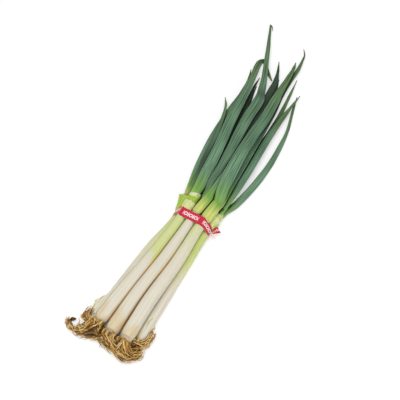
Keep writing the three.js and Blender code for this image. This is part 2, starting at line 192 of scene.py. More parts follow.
def curve_points(points, count):
    """count + 1 points on a centripetal curve through points, at equal steps of its own parameter."""
    knots = [Vector(p) for p in points]
    knots = [2 * knots[0] - knots[1], *knots, 2 * knots[-1] - knots[-2]]
    result = []
    for i in range(count + 1):
        place = i / count * (len(points) - 1)
        k = min(int(place), len(points) - 2)
        p0, p1, p2, p3 = knots[k : k + 4]
        d0, d1, d2 = [max(1e-4, (b - a).length ** 0.5) for a, b in ((p0, p1), (p1, p2), (p2, p3))]
        t1 = ((p1 - p0) / d0 - (p2 - p0) / (d0 + d1) + (p2 - p1) / d1) * d1
        t2 = ((p2 - p1) / d1 - (p3 - p1) / (d1 + d2) + (p3 - p2) / d2) * d1
        s = place - k
        hermite = (2 * s**3 - 3 * s**2 + 1, s**3 - 2 * s**2 + s, 3 * s**2 - 2 * s**3, s**3 - s**2)
        result.append(p1 * hermite[0] + t1 * hermite[1] + p2 * hermite[2] + t2 * hermite[3])
    return result


def eased(values, share):
    """The value at share of the way along a list, eased between neighbours."""
    place = min(max(share, 0.0), 1.0) * (len(values) - 1)
    k = min(int(place), len(values) - 2)
    s = place - k
    return values[k] + (values[k + 1] - values[k]) * s * s * (3 - 2 * s)


def mid_height(name):
    """A function that gives the height of the middle of a CAD node under a point, or None beside it."""
    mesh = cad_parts[name].data
    tree = BVHTree.FromPolygons([v.co for v in mesh.vertices], [p.vertices for p in mesh.polygons])

    def at(x, y):
        top = tree.ray_cast(Vector((x, y, 1)), Vector((0, 0, -1)))[0]
        bottom = tree.ray_cast(Vector((x, y, -1)), Vector((0, 0, 1)))[0]
        return None if top is None or bottom is None else (top.z + bottom.z) / 2

    return at


def on_node(name, plan):
    """plan's points, in millimetres, at the height of the CAD node that they run through, in metres."""
    at = mid_height(name)
    heights = [at(p.x * MM, p.y * MM) for p in plan]
    known = [i for i, z in enumerate(heights) if z is not None]
    nearest = [heights[min(known, key=lambda k: abs(k - i))] for i in range(len(plan))]
    return [Vector((p.x * MM, p.y * MM, z)) for p, z in zip(plan, nearest)]


def select_only(piece):
    start_piece()
    piece.select_set(True)
    bpy.context.view_layer.objects.active = piece


def apply_modifiers(piece):
    select_only(piece)
    for modifier in list(piece.modifiers):
        bpy.ops.object.modifier_apply(modifier=modifier.name)


def bend_along(piece, route, radii, roll=0):
    """Lays a piece, made straight along X with a radius of 1, along a route, with its size there."""
    curve = bpy.data.curves.new("spine", "CURVE")
    curve.dimensions = "3D"
    curve.twist_mode = "Z_UP"
    curve.use_stretch = True
    curve.use_deform_bounds = True
    spline = curve.splines.new("POLY")
    spline.points.add(len(route) - 1)
    for point, place, radius in zip(spline.points, route, radii):
        point.co = (*place, 1)
        point.radius = radius
        point.tilt = math.radians(roll)
    spine = bpy.data.objects.new("spine", curve)
    bpy.context.collection.objects.link(spine)
    bend = piece.modifiers.new("along", "CURVE")
    bend.object = spine
    bend.deform_axis = "POS_X"
    apply_modifiers(piece)
    bpy.data.objects.remove(spine)


def straight_tube(name, sides, rings, ends="NGON"):
    """A tube of radius 1 and length 1 along X, with rings along it. Its UV map is how far along and round."""
    start_piece()
    bpy.ops.mesh.primitive_cylinder_add(
        vertices=sides, radius=1, depth=1, end_fill_type=ends, rotation=(0, math.pi / 2, 0)
    )
    piece = bpy.context.object
    piece.name = name
    bpy.ops.object.transform_apply(rotation=True)
    bpy.ops.object.mode_set(mode="EDIT")
    bpy.ops.mesh.select_mode(type="EDGE")
    bpy.ops.mesh.select_all(action="DESELECT")
    bpy.ops.object.mode_set(mode="OBJECT")
    for edge in piece.data.edges:
        a, b = [piece.data.vertices[v].co.x for v in edge.vertices]
        edge.select = abs(a - b) > 0.5
    bpy.ops.object.mode_set(mode="EDIT")
    bpy.ops.mesh.subdivide(number_cuts=rings - 1)
    bpy.ops.object.mode_set(mode="OBJECT")
    uv = piece.data.uv_layers[0].data
    for polygon in piece.data.polygons:
        middle = math.atan2(polygon.center.z, polygon.center.y)
        for loop in polygon.loop_indices:
            co = piece.data.vertices[piece.data.loops[loop].vertex_index].co
            turn = math.atan2(co.z, co.y)
            turn += 2 * math.pi * round((middle - turn) / (2 * math.pi))
            uv[loop].uv = (co.x + 0.5, turn / (2 * math.pi) + 0.5)
    return piece


def copy_of(piece, name):
    """A copy of a piece that has its own mesh."""
    copy = piece.copy()
    copy.data = piece.data.copy()
    copy.name = name
    bpy.context.collection.objects.link(copy)
    return copy


def keep_above(piece, height):
    """Raises what lies lower than height to it, because the piece is pressed flat on the table there."""
    for vertex in piece.data.vertices:
        vertex.co.z = max(vertex.co.z, height * MM)


def smooth(piece):
    select_only(piece)
    bpy.ops.object.shade_smooth_by_angle(angle=math.radians(50))


def grain(add, vector, sizes, detail=3.0):
    """Noise whose patches have these sizes along the vector's three axes, in the vector's own unit."""
    place = add("Mapping", {"Vector": vector, "Scale": [1 / size for size in sizes]})
    return add("TexNoise", {"Vector": place, "Scale": 1.0, "Detail": detail})


def sheath_skin(name, left_line, green_from, green_to, greenest):
    """Living leaf sheath: waxy, cream where it was under soil and yellow-green above, with veins along it,
    which are drawn three times as far apart as they are, so that they show. A darker line runs along the
    stem's left side, and shade is painted into the grooves between the stems, amber low down and green
    nearer the neck."""
    material, add = new_material(name, Roughness=0.42, IOR=1.42, Subsurface_Weight=0.35,
                                 Subsurface_Scale=0.006, Subsurface_Radius=(1.0, 0.8, 0.4))
    uv = add("TexCoord", output="UV")
    place = add("TexCoord", output="Object")
    y_axis = add("SeparateXYZ", [place], "Y")
    patches = grain(add, place, (16.7 * MM, 71.4 * MM, 16.7 * MM), 2.0)
    wander = add("Math", [patches, 2 * WANDER * MM, y_axis], operation="MULTIPLY_ADD")
    starts, full = (green_from + WANDER) * MM, (green_to + WANDER) * MM
    greening = add("MapRange", [wander, starts, full, 0.0, greenest], **SMOOTH)
    colours = add("ValToRGB", [greening], stops=[
        (0.0, SHANK_COLOURS["cream"]), (0.45, SHANK_COLOURS["lime"]), (1.0, SHANK_COLOURS["green"])])
    veins = grain(add, uv, (0.4, VEIN_PITCH / (math.pi * STEM), 1.0))
    fine = add("MapRange", [veins, 0.42, 0.68, 0.0, 0.32], **SMOOTH)
    veined = add("Mix", {0: fine, 6: colours, 7: SHANK_COLOURS["vein"]}, **TINT)
    along = add("MapRange", [y_axis, GROOVE_SHADE_RUN[0] * MM, GROOVE_SHADE_RUN[1] * MM], **SMOOTH)
    groove_shade_colour = add("ValToRGB", [along], stops=GROOVE_SHADE_COLOURS)
    # Painted shade in the grooves: where the stem lies close against its neighbours, its colour turns to the
    # groove shade colours.
    openness = add("AmbientOcclusion", {"Distance": 6 * MM}, "AO", samples=12)
    groove = add("MapRange", [openness, 0.28, 0.6, 0.95, 0.0], **SMOOTH)
    groove_shaded = add("Mix", {0: groove, 6: veined, 7: groove_shade_colour}, **BLEND)
    # A darker line along the stem's left side, as dark as its left line.
    turn = add("SeparateXYZ", [uv], "Y")
    below = add("MapRange", [turn, 0.56, 0.59], **SMOOTH)
    above = add("MapRange", [turn, 0.61, 0.65, 1.0, 0.0], **SMOOTH)
    line = add("Math", [below, above], operation="MINIMUM")
    edge = add("Math", [line, left_line], operation="MULTIPLY")
    edged = add("Mix", {0: edge, 6: groove_shaded, 7: SHANK_COLOURS["left_line"]}, **BLEND)
    darkest, ends = [(y + WANDER) * MM for y in ROOT_STAIN]
    root_end = add("MapRange", [wander, darkest, ends, 1.0, 0.0], **SMOOTH)
    streaks = grain(add, uv, (0.2, 1 / 9, 1.0), 4.0)
    streaked = add("Math", [root_end, streaks], operation="MULTIPLY")
    stain = add("MapRange", [streaked, 0.2, 0.75, 0.0, 0.75], **SMOOTH)
    stained = add("Mix", {0: stain, 6: edged, 7: SHANK_COLOURS["stain"]}, **BLEND)
    splashed = add("Math", [streaks, 20 * MM, y_axis], operation="MULTIPLY_ADD")
    dirt = add("MapRange", [splashed, ROOT_DIRT[0] * MM, ROOT_DIRT[1] * MM, 0.6, 0.0], **SMOOTH)
    add("Mix", {0: dirt, 6: stained, 7: SHANK_COLOURS["dirt"]}, **BLEND, to="Base Color")
    add("Bump", {"Height": veins, "Strength": 0.3, "Distance": 0.4 * MM}, to="Normal")
    return material


def shank_radii(key, route):
    """The stem's radius at each point of its route: domed at the root disc, and tapered off in the neck."""
    plant = PLANTS[key]
    widths = [STEM * plant["size"], STEM * plant["size"], STEM * plant["waist"], SQUEEZED, NECK]
    radii = []
    for i, point in enumerate(route):
        share = i / SHANK_RINGS
        from_root = (point - route[0]).length / MM
        domed = math.sqrt(max(0.1, 1 - (1 - min(1, from_root / ROOT_DOME)) ** 2.4))
        off_swell = (from_root - ROOT_SWELL["at"]) / ROOT_SWELL["reach"]
        swell = domed + ROOT_SWELL["share"] * math.exp(-(off_swell**2))
        ripple = noise(point / (SHANK_WOBBLE["pitch"] * MM) + Vector((float(key), 0, 0)))
        wobble = 1 + SHANK_WOBBLE["share"] * ripple
        in_neck = max(0, (share - TOP_TAPER["from"]) / (1 - TOP_TAPER["from"]))
        radii.append(eased(widths, share) / 2 * MM * swell * wobble * (1 - TOP_TAPER["share"] * in_neck**2))
    return radii


shank_tube = straight_tube("shank_tube", SHANK_SIDES, SHANK_RINGS)
for vertex in shank_tube.data.vertices:
    power = eased(SHANK_POWERS, vertex.co.x + 0.5)
    squarer = (abs(vertex.co.y) ** power + abs(vertex.co.z) ** power) ** (-1 / power)
    vertex.co.y *= squarer
    vertex.co.z *= squarer
shank_routes = {}
for key, plant in PLANTS.items():
    shank = copy_of(shank_tube, f"shank_{key}_stem")
    plan = curve_points([(x, y, 0) for x, y in plant["axis"]], SHANK_RINGS)
    shank_routes[key] = on_node(f"shank_{key}", plan)
    bend_along(shank, shank_routes[key], shank_radii(key, shank_routes[key]))
    keep_above(shank, 0)
    shank.data.materials.append(sheath_skin(f"onion_sheath_{key}", plant["left_line"], *plant["green"]))
    smooth(shank)
    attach(shank, "root")
    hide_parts(f"shank_{key}")
bpy.data.objects.remove(shank_tube)

# ---------------------------------------------------------------- collars
# Above the tape each stem ends in the mouths of its outer sheaths. They are the leaves' thin lower ends,
# cut or torn off aslant, and their rims have dried pale. The next sheath and the leaves come out of them.
#
# A collar ends at a y. It stands wider than the stem, flares at its mouth, and is cut lower by its slant on
# the side that its turn gives. Green and dry are how green it is and how pale its rim.
COLLARS = {
    "1": [{"ends": 42, "wider": 1.6, "flare": 3.6, "slant": 13, "turn": 200, "green": 0.85, "dry": 0.25}],
    "2": [{"ends": 38, "wider": 0.5, "flare": 0.5, "slant": 8, "turn": 90, "green": 0.3, "dry": 0.5}],
    "3": [{"ends": 36, "wider": 0.5, "flare": 0.5, "slant": 8, "turn": 90, "green": 0.3, "dry": 0.5}],
    "4": [{"ends": 31, "wider": 1.5, "flare": 1.6, "slant": 7, "turn": 200, "green": 0.35, "dry": 0.9}],
    "5": [{"ends": 27, "wider": 1.3, "flare": 0.4, "slant": 2, "turn": 90, "green": 0.1, "dry": 1.0},
          {"ends": 46, "wider": 0.6, "flare": 0.6, "slant": 6, "turn": 40, "green": 1.0, "dry": 1.0}],
    "7": [{"ends": 16, "wider": 1.0, "flare": 0.4, "slant": 3, "turn": 120, "green": 0.3, "dry": 1.0}],
}
COLLAR_RINGS = 24
COLLAR_STARTS = -2.0
COLLAR_STEPS = 20
COLLAR_THICK = 0.35
COLLAR_LOW = 0.6
COLLAR_VEINS = 1.5
COLLAR_TEARS = [(2.6, 3), (1.4, 11)]  # how deep the tears in the rim are, and how close
COLLAR_COLOURS = {"pale": "D9DC96", "green": "A3BF3F", "vein": "BCC493", "rim": "D6D7A4"}


def thicken(piece, thickness, offset, material_offset=0):
    """Gives a sheet its thickness, outwards at an offset of 1, inwards at -1 and to both sides at 0."""
    film = piece.modifiers.new("film", "SOLIDIFY")
    film.thickness = thickness * MM
    film.offset = offset
    film.material_offset = material_offset
    apply_modifiers(piece)


def collar_skin(name, green, dry):
    """A green sheath's upper end, whose last few millimetres have dried to pale papery skin."""
    material, add = new_material(name, Roughness=0.45, IOR=1.42, Subsurface_Weight=0.2,
                                 Subsurface_Scale=0.004, Subsurface_Radius=(1.0, 0.8, 0.4))
    uv = add("TexCoord", output="UV")
    along = add("SeparateXYZ", [uv], "X")
    place = add("TexCoord", output="Object")
    patches = grain(add, place, (11.1 * MM, 25 * MM, 11.1 * MM), 2.0)
    patchy = add("Math", [patches, 1.2, green - 0.6], operation="MULTIPLY_ADD")
    greener = add("MapRange", [patchy], **SMOOTH)
    colour = add("Mix", {0: greener, 6: COLLAR_COLOURS["pale"], 7: COLLAR_COLOURS["green"]}, **BLEND)
    veins = grain(add, uv, (0.5, COLLAR_VEINS / (math.pi * STEM), 1.0))
    fine = add("MapRange", [veins, 0.42, 0.68, 0.0, 0.6], **SMOOTH)
    veined = add("Mix", {0: fine, 6: colour, 7: COLLAR_COLOURS["vein"]}, **TINT)
    withered = grain(add, place, (6.25 * MM, 7.7 * MM, 6.25 * MM), 1.0)
    uneven = add("Math", [withered, 0.5, along], operation="MULTIPLY_ADD")
    rim = add("MapRange", [uneven, 1.1, 1.2, 0.0, dry], **SMOOTH)
    add("Mix", {0: rim, 6: veined, 7: COLLAR_COLOURS["rim"]}, **BLEND, to="Base Color")
    add("Bump", {"Height": veins, "Strength": 0.35, "Distance": 0.4 * MM}, to="Normal")
    return material


def cut_aslant(piece, collar, seed):
    """Draws a straight tube's end back, lower on the side that the collar's turn gives, and tears its rim."""
    for vertex in piece.data.vertices:
        share = vertex.co.x + 0.5
        angle = math.atan2(vertex.co.z, vertex.co.y)
        slope = (1 + math.cos(angle - math.radians(collar["turn"]))) / 2
        torn = 0
        for (deep, close), own in zip(COLLAR_TEARS, seed):
            torn += deep * noise(Vector((math.cos(angle) * close, math.sin(angle) * close, own)))
        vertex.co.x -= share**2 * (collar["slant"] * slope + 1 + torn) / (collar["ends"] - COLLAR_STARTS)


def collar_fit(key, collar):
    """The part of the stem's route that a collar covers, and the collar's radii along it."""
    plant = PLANTS[key]
    neck_y = plant["axis"][-1][1]
    low, high = [round((AT_TAPE + (1 - AT_TAPE) * y / neck_y) * SHANK_RINGS)
                 for y in (COLLAR_STARTS, collar["ends"])]
    widths = [*[plant["waist"] * STEM] * 3, SQUEEZED, NECK]
    on_stem, radii = [], []
    for i in range(COLLAR_STEPS + 1):
        step = i / COLLAR_STEPS
        share = (low + (high - low) * step) / SHANK_RINGS
        on_stem.append(shank_routes[key][round(low + (high - low) * step)])
        past_tape = min(1, max(0, (share - AT_TAPE) / 0.04 - 1))
        grown = collar["wider"] * past_tape + collar["flare"] * step**3
        radii.append((eased(widths, share) / 2 + 0.1 + grown) * MM)
    return on_stem, radii


open_tube = straight_tube("open_tube", SHANK_SIDES, COLLAR_RINGS, "NOTHING")
for key, collars in COLLARS.items():
    for number, collar in enumerate(collars):
        piece = copy_of(open_tube, f"collar_{key}_{number + 1}")
        cut_aslant(piece, collar, (number + float(key) * 7, float(key) * 3))
        bend_along(piece, *collar_fit(key, collar))
        keep_above(piece, COLLAR_LOW)
        thicken(piece, COLLAR_THICK, -1)
        skin = collar_skin(f"drying_sheath_{key}_{number + 1}", collar["green"], collar["dry"])
        piece.data.materials.append(skin)
        smooth(piece)
        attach(piece, "root")
bpy.data.objects.remove(open_tube)

# ---------------------------------------------------------------- dry skins
# The outermost sheath of a stem dries to a papery skin, which splits near the roots and stands off the
# stem's side with a ragged edge. Each is given by its side, and by how far out its edge is at places in y.
DRY_SKINS = {
    "1": {"side": -1, "edge": [(-151, 46.2), (-157, 48), (-163, 51.5), (-169, 54.5), (-174, 58), (-176, 60),
                               (-180, 58.5), (-186, 57.5), (-192, 55), (-198, 50)]},
    "4": {"side": 1, "edge": [(-163, 35.5), (-168, 37), (-172, 39.5), (-176, 38.5), (-181, 39), (-188, 38)]},
}
SKIN_CELLS = (60, 14)
SKIN_THICK = 0.3
SKIN_AIR = 0.3
SKIN_LOW = 5.0
SKIN_TOP_ANGLE = 95
SKIN_WRAP = 75


def flat_grid(name, cells):
    """A square of side 1 with this many cells along X and Y."""
    start_piece()
    bpy.ops.mesh.primitive_grid_add(x_subdivisions=cells[0], y_subdivisions=cells[1], size=1)
    bpy.context.object.name = name
    return bpy.context.object


def face_outwards(piece):
    """Turns a closed shell's faces outwards."""
    select_only(piece)
    bpy.ops.object.mode_set(mode="EDIT")
    bpy.ops.mesh.select_all(action="SELECT")
    bpy.ops.mesh.normals_make_consistent(inside=False)
    bpy.ops.object.mode_set(mode="OBJECT")


def papery_skin(name):
    """Dried sheath: thin matt skin, off-white between the tan fibres that run along it."""
    material, add = new_material(name, Roughness=0.75, IOR=1.4, Subsurface_Weight=0.5, Subsurface_Scale=0.002)
    place = add("TexCoord", output="Object")
    fibres = grain(add, place, (2 * MM, 20 * MM, 2 * MM))
    tone = add("MapRange", [fibres, 0.35, 0.65], **SMOOTH)
    add("ValToRGB", [tone], stops=[(0.0, "B39A66"), (0.4, "D8CCAC"), (1.0, "E6E0CE")], to="Base Color")
    return material


paper = papery_skin("dried_outer_sheath")
for key, skin in DRY_SKINS.items():
    piece = flat_grid(f"dry_skin_{key}", SKIN_CELLS)
    edge = curve_points([(out * skin["side"], y, 0) for y, out in skin["edge"]], SKIN_CELLS[0])
    girth = PLANTS[key]["size"] * STEM / 2 + SKIN_AIR
    for vertex in piece.data.vertices:
        rim = edge[round((vertex.co.x + 0.5) * SKIN_CELLS[0])]
        stem = min(shank_routes[key], key=lambda p: abs(p.y - rim.y * MM)) / MM
        round_stem = min(1, (vertex.co.y + 0.5) / 0.5)
        off_stem = max(0, vertex.co.y / 0.5)
        angle = math.radians(SKIN_TOP_ANGLE - SKIN_WRAP * round_stem)
        beside, above = skin["side"] * girth * math.cos(angle), girth * math.sin(angle)
        on_stem = Vector((stem.x + beside, rim.y, stem.z + above))
        torn = 1.2 * noise(Vector((rim.y * 0.5, float(key), 0)))
        free = Vector((rim.x + skin["side"] * torn, rim.y, SKIN_LOW + 1.5 * noise(rim * 0.2)))
        point = on_stem.lerp(free, off_stem)
        point.z += 0.8 * noise(point * 0.3) * off_stem
        vertex.co = point * MM
    thicken(piece, SKIN_THICK, 0)
    face_outwards(piece)
    piece.data.materials.append(paper)
    smooth(piece)
    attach(piece, "root")

# ---------------------------------------------------------------- leaves
# Long hollow leaves, pressed flat by their own weight and by packing. They leave the neck thick and bright
# green, and are blue-green with a pale bloom of wax further up. The tips are thin and partly dry.
#
# A leaf leaves its neck to one side of its middle, as wide as its base (LEAF_BASE where it has none), and is
# rolled by some degrees. Its route is x, y and its width there. The lower leaves lie in shade, and their
# material is a copy of the upper one with that shade painted into its darker colours.
LEAVES = {
    "1c": {"roll": 4, "route": [
        (-38.5, 90, 13), (-46.5, 150, 13), (-50.5, 210, 10), (-52.5, 260, 5), (-53.5, 292, 1.4)]},
    "2b": {"roll": -6, "route": [
        (-12.5, 90, 13), (-18.5, 150, 12), (-27.5, 213, 8), (-34.5, 250, 6), (-42.5, 298, 1.4)]},
    "3c": {"roll": 5, "route": [
        (11.5, 90, 14), (9.5, 150, 14), (5.5, 210, 12), (1.5, 262, 8), (-2.5, 320, 1.4)]},
    "3b": {"side": -2, "roll": -8, "route": [
        (4.5, 90, 14), (-0.5, 150, 13), (-6.5, 210, 10), (-11.5, 262, 7), (-9.5, 305, 4.5),
        (-15.5, 330, 1.3)]},
    "2a": {"roll": 10, "route": [
        (-18.5, 90, 15), (-24.5, 150, 14), (-31.5, 205, 11), (-38.5, 255, 8), (-44.5, 292, 5),
        (-46.5, 318, 1.4)]},
    "3a": {"side": 2, "base": 11, "roll": 12, "route": [
        (18.5, 80, 13), (23.5, 120, 14), (23.5, 182, 13), (23.5, 225, 11), (21, 262, 8), (17, 302, 5.5),
        (12, 345, 1.2)]},
    "4b": {"side": 2, "base": 11, "roll": -10, "route": [
        (39.5, 64, 11), (45.3, 90, 11.5), (49.6, 120, 11.5), (52.2, 159, 10), (51, 195, 8.5),
        (46.8, 236, 5.5), (36, 279, 4.5), (28.5, 311, 1.2)]},
    "4a": {"side": -1, "roll": 6, "route": [
        (31.5, 85, 13), (31.5, 119, 13), (29.5, 165, 12.5), (27.5, 213, 12), (28.5, 255, 9), (30.5, 288, 5),
        (32.5, 314, 1.3)]},
    "1a": {"roll": -8, "route": [
        (-40.6, 72, 9), (-47.4, 110, 10.5), (-53.5, 165, 11.6), (-55.2, 225, 11.5), (-55.5, 272, 9),
        (-60.5, 303, 5), (-68.5, 327, 1.4)]},
    "1b": {"side": 2, "base": 9, "roll": 14, "route": [
        (-37.5, 90, 9), (-43.5, 125, 9), (-48.5, 164, 8), (-56.5, 200, 6.5), (-65.5, 229, 4.5),
        (-78, 250, 1.2)]},
    "7b": {"roll": 8, "route": [
        (20.5, 80, 14), (17.5, 130, 14), (14.5, 190, 13), (10.5, 250, 11.5), (5, 300, 8.5), (3.2, 338, 8.5),
        (3.5, 364, 7.5), (0.5, 392, 4), (-1.5, 403, 2.5), (-9, 415, 1.2)]},
    "5b": {"roll": 6, "route": [
        (-28.5, 90, 14), (-35.5, 140, 14), (-42.5, 195, 12), (-46.5, 240, 9), (-49.5, 290, 1.4)]},
    "6b": {"side": 1, "roll": -8, "route": [
        (3.5, 75, 13), (0.5, 118, 13), (-2.5, 162, 12), (-6.5, 210, 11), (-12.5, 262, 10.5), (-15.5, 300, 11),
        (-18, 322, 9), (-24, 342, 5), (-34, 367, 1.4)]},
    "5a": {"side": 0.8, "base": 17, "roll": -6, "route": [
        (-22.3, 83, 18.2), (-30.2, 140, 17.2), (-41.5, 209, 17), (-48.5, 269, 13), (-56.3, 314, 11),
        (-61.5, 338, 11), (-62, 350, 10), (-55.5, 355, 9), (-49, 345, 8), (-38, 332, 6.5), (-24, 319, 2.5)]},
    "6a": {"side": -4.8, "base": 10.5, "roll": 5, "route": [
        (-7, 74, 12), (-7.6, 101, 12.8), (-11.6, 145, 15), (-16.2, 184, 17.8), (-20.5, 225, 19.4),
        (-21.6, 262, 19.4), (-26.5, 283, 14), (-40, 323, 10), (-53.3, 356, 8.4), (-65.5, 387, 7),
        (-76, 412, 5), (-82, 427, 4), (-87.5, 440, 2.6), (-83, 436, 2.2), (-77, 427, 0.8)]},
    "6c": {"side": 4.4, "base": 10.5, "roll": 2, "route": [
        (5.6, 75, 12.5), (6.5, 118, 12), (5, 165, 10), (3.5, 215, 7), (3, 255, 3), (2.5, 282, 1.4)]},
    "7a": {"side": -1, "base": 16, "roll": 4, "route": [
        (17.5, 68, 19), (13.5, 97, 21.2), (10.7, 129, 20.5), (8, 186, 19.2), (7, 230, 19), (3.9, 268, 17.2),
        (1, 300, 13), (-1, 335, 9.5), (-3.5, 362, 6), (-7.5, 380, 1.4)]},
}
# Leaves that lie under the others, drawn in the copy with shade painted into its colours.
LOWER_LEAVES = ("1c", "2b", "3c", "3b", "2a", "5b", "6b")
LEAF_SIDES = 24
LEAF_RINGS = 100
LEAF_THICK = 0.08  # a pressed leaf's thickness over its width
LEAF_ROUND = 60  # a leaf is round in its neck, and pressed flat this far out of it
LEAF_LOW = 0.2
LEAF_GIRTH = 36.8
LEAF_VEINS = 0.8
LEAF_BANDS = 4.1
LEAF_UV = 100

# Shade painted on a leaf where it bends over or lies under others: at a y, as far as a reach to both sides,
# by a share.
LEAF_PAINTED_SHADES = {
    "1a": [(300, 30, 0.25)],
    "1b": [(110, 55, 0.85)],
    "4b": [(276, 5, 0.5)],
    "5a": [(355, 7, 0.85)],
    "6a": [(280, 12, 0.6), (85, 55, 0.4), (430, 60, 0.3)],
    "6b": [(300, 30, 0.4)],
    "7a": [(366, 8, 0.3), (175, 60, 0.12)],
    "7b": [(396, 18, 0.5)],
}

# How much further down a leaf's green starts, over LEAF_UV, and how deep it starts inside its neck, as wide
# as this and at this side, where that isn't as for the other leaves.
LEAF_GREENER = {"6a": 0.3, "5a": 0.22, "4b": 0.15, "4a": 0.1, "1a": -0.08}
LEAF_SHEATHS = {"6c": (34, 18.5, 2.0), "7a": (30, 18.6, -1.8), "1a": (20, 13, 0), "5a": (14, 15.5, 0),
                "4a": (16, 13, -1)}
LEAF_SHEATH = 14
LEAF_BASE = 12
LEAF_COLOURS = {"band": "A3B5A9", "vein": "8FA294", "painted_shade": "26382A", "gap_shade": "0A120E"}


def leaf_skin(name, base, bright, blue, upper, olive, tip):
    """Onion leaf: thin green skin under a matt bloom of wax, with close fine veins along it, which are drawn
    twice as far apart as they are, so that they show. Shade is painted on it where it bends or lies under
    other leaves, and nearly black in the gaps between leaves."""
    material, add = new_material(name, Roughness=0.48, IOR=1.4)
    uv = add("TexCoord", output="UV")
    place = add("TexCoord", output="Object")
    patches = grain(add, place, (14.3 * MM, 83.3 * MM, 14.3 * MM))
    along = add("SeparateXYZ", [uv], "X")
    share = add("Attribute", output="Fac", attribute_name="share")
    wander = add("Math", [patches, 0.35, along], operation="MULTIPLY_ADD")
    greening = add("Math", [wander, 0.25], operation="MULTIPLY")
    colours = add("ValToRGB", [greening], stops=[
        (0.07, base), (0.125, bright), (0.24, blue), (0.6, upper), (1.0, upper)])
    far = add("Math", [patches, 0.3, share], operation="MULTIPLY_ADD")
    wilting = add("MapRange", [far, 0.7, 1.05, 0.0, 0.8], **SMOOTH)
    wilted = add("Mix", {0: wilting, 6: colours, 7: olive}, **BLEND)
    bands = grain(add, uv, (2.0, LEAF_BANDS / LEAF_GIRTH, 1.0), 2.0)
    broad = add("MapRange", [bands, 0.38, 0.62, 0.0, 0.3], **SMOOTH)
    banded = add("Mix", {0: broad, 6: wilted, 7: LEAF_COLOURS["band"]}, **TINT)
    veins = grain(add, uv, (0.714, LEAF_VEINS / LEAF_GIRTH, 1.0))
    fine = add("MapRange", [veins, 0.42, 0.58], **SMOOTH)
    grown = add("MapRange", [along, 0.2, 1.0, 0.25, 1.0], **SMOOTH)
    showing = add("Math", [fine, grown], operation="MULTIPLY")
    veined = add("Mix", {0: showing, 6: banded, 7: LEAF_COLOURS["vein"]}, **TINT)
    farthest = add("Math", [patches, 0.12, share], operation="MULTIPLY_ADD")
    withered = add("MapRange", [farthest, 0.98, 1.05], **SMOOTH)
    ended = add("Mix", {0: withered, 6: veined, 7: tip}, **BLEND)
    # Painted shade: the leaf is darkened where it bends over or lies under other leaves.
    shade = add("Attribute", output="Fac", attribute_name="shade")
    shade_painted = add("Mix", {0: shade, 6: LEAF_COLOURS["painted_shade"], 7: ended}, **BLEND)
    # Painted shade: nearly black where other leaves lie close over or beside the leaf, in the gaps between
    # them.
    openness = add("AmbientOcclusion", {"Distance": 14 * MM}, "AO", samples=12)
    gap_shade = add("MapRange", [openness, 0.48, 0.9, 1.0, 0.0], **SMOOTH)
    add("Mix", {0: gap_shade, 6: shade_painted, 7: LEAF_COLOURS["gap_shade"]}, **BLEND, to="Base Color")
    add("Bump", {"Height": veins, "Strength": 0.25, "Distance": 0.3 * MM}, to="Normal")
    return material


def add_values(piece, name, values):
    """Gives a piece's vertices a number each, for its material to read."""
    piece.data.attributes.new(name, "FLOAT", "POINT").data.foreach_set("value", values)


blade = straight_tube("blade", LEAF_SIDES, LEAF_RINGS)
shares = [vertex.co.x + 0.5 for vertex in blade.data.vertices]
add_values(blade, "share", shares)
leaf_surfaces = {
    "upper": leaf_skin("waxy_onion_leaf", "D0D672", "78A646", "7A9F7F", "6C8F70", "6E8A52", "5A6434"),
    "lower": leaf_skin("shaded_onion_leaf", "9FB352", "3A5C26", "23392D", "3C5847", "3A5232", "363F20"),
}
for key, leaf in LEAVES.items():
    piece = copy_of(blade, f"leaf_{key}_blade")
    neck = shank_routes[key[0]]
    heading = (neck[-1] - neck[-4]).normalized()
    across = heading.cross(Vector((0, 0, 1))).normalized()
    base = leaf.get("base", LEAF_BASE)
    sheath, sheath_width, side = LEAF_SHEATHS.get(key, (LEAF_SHEATH, base * 0.85, leaf.get("side", 0)))
    start = (neck[-1] + across * side * MM) / MM
    back = min(neck, key=lambda p: abs((neck[-1] - p).length - sheath * MM)) / MM
    first = [back, start + heading * 0.7, start + heading * 9]
    widths = [sheath_width, max(base, sheath_width - 2), base + 1]
    widths += [width for _, _, width in leaf["route"]]
    plan = curve_points([(p.x, p.y, 0) for p in first] + [(x, y, 0) for x, y, _ in leaf["route"]], LEAF_RINGS)
    route = on_node(f"leaf_{key}", plan)
    for point in route:
        along_sheath = (point.y - back.y * MM) / (sheath * MM)
        if along_sheath < 1:
            point.z += (back.z * MM - point.z) * (1 - max(0, along_sheath)) ** 1.5
    radii = [eased(widths, i / LEAF_RINGS) / 2 * MM for i in range(LEAF_RINGS + 1)]
    length = sum((b - a).length for a, b in zip(route, route[1:]))
    for vertex, share in zip(piece.data.vertices, shares):
        rounded = max(0, 1 - share * length / ((LEAF_ROUND + sheath) * MM)) ** 1.6
        pressed = (1 - (1 - min(1, abs(vertex.co.z))) ** 4) * LEAF_THICK
        vertex.co.z = math.copysign(pressed * (1 - rounded) + abs(vertex.co.z) * rounded, vertex.co.z)
    for corner in piece.data.uv_layers[0].data:
        corner.uv.x = corner.uv.x * length / (LEAF_UV * MM) + LEAF_GREENER.get(key, 0)
    bend_along(piece, route, radii, -leaf["roll"])
    keep_above(piece, LEAF_LOW)
    # The painted shade on this leaf, a number for each vertex.
    shades = [1.0] * len(piece.data.vertices)
    for at_y, reach, depth in LEAF_PAINTED_SHADES.get(key, []):
        for i, vertex in enumerate(piece.data.vertices):
            shades[i] *= 1 - depth * math.exp(-(((vertex.co.y / MM - at_y) / reach) ** 2))
    add_values(piece, "shade", shades)
    piece.data.materials.append(leaf_surfaces["lower" if key in LOWER_LEAVES else "upper"])
    smooth(piece)
    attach(piece, "root")
    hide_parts(f"leaf_{key}")
bpy.data.objects.remove(blade)
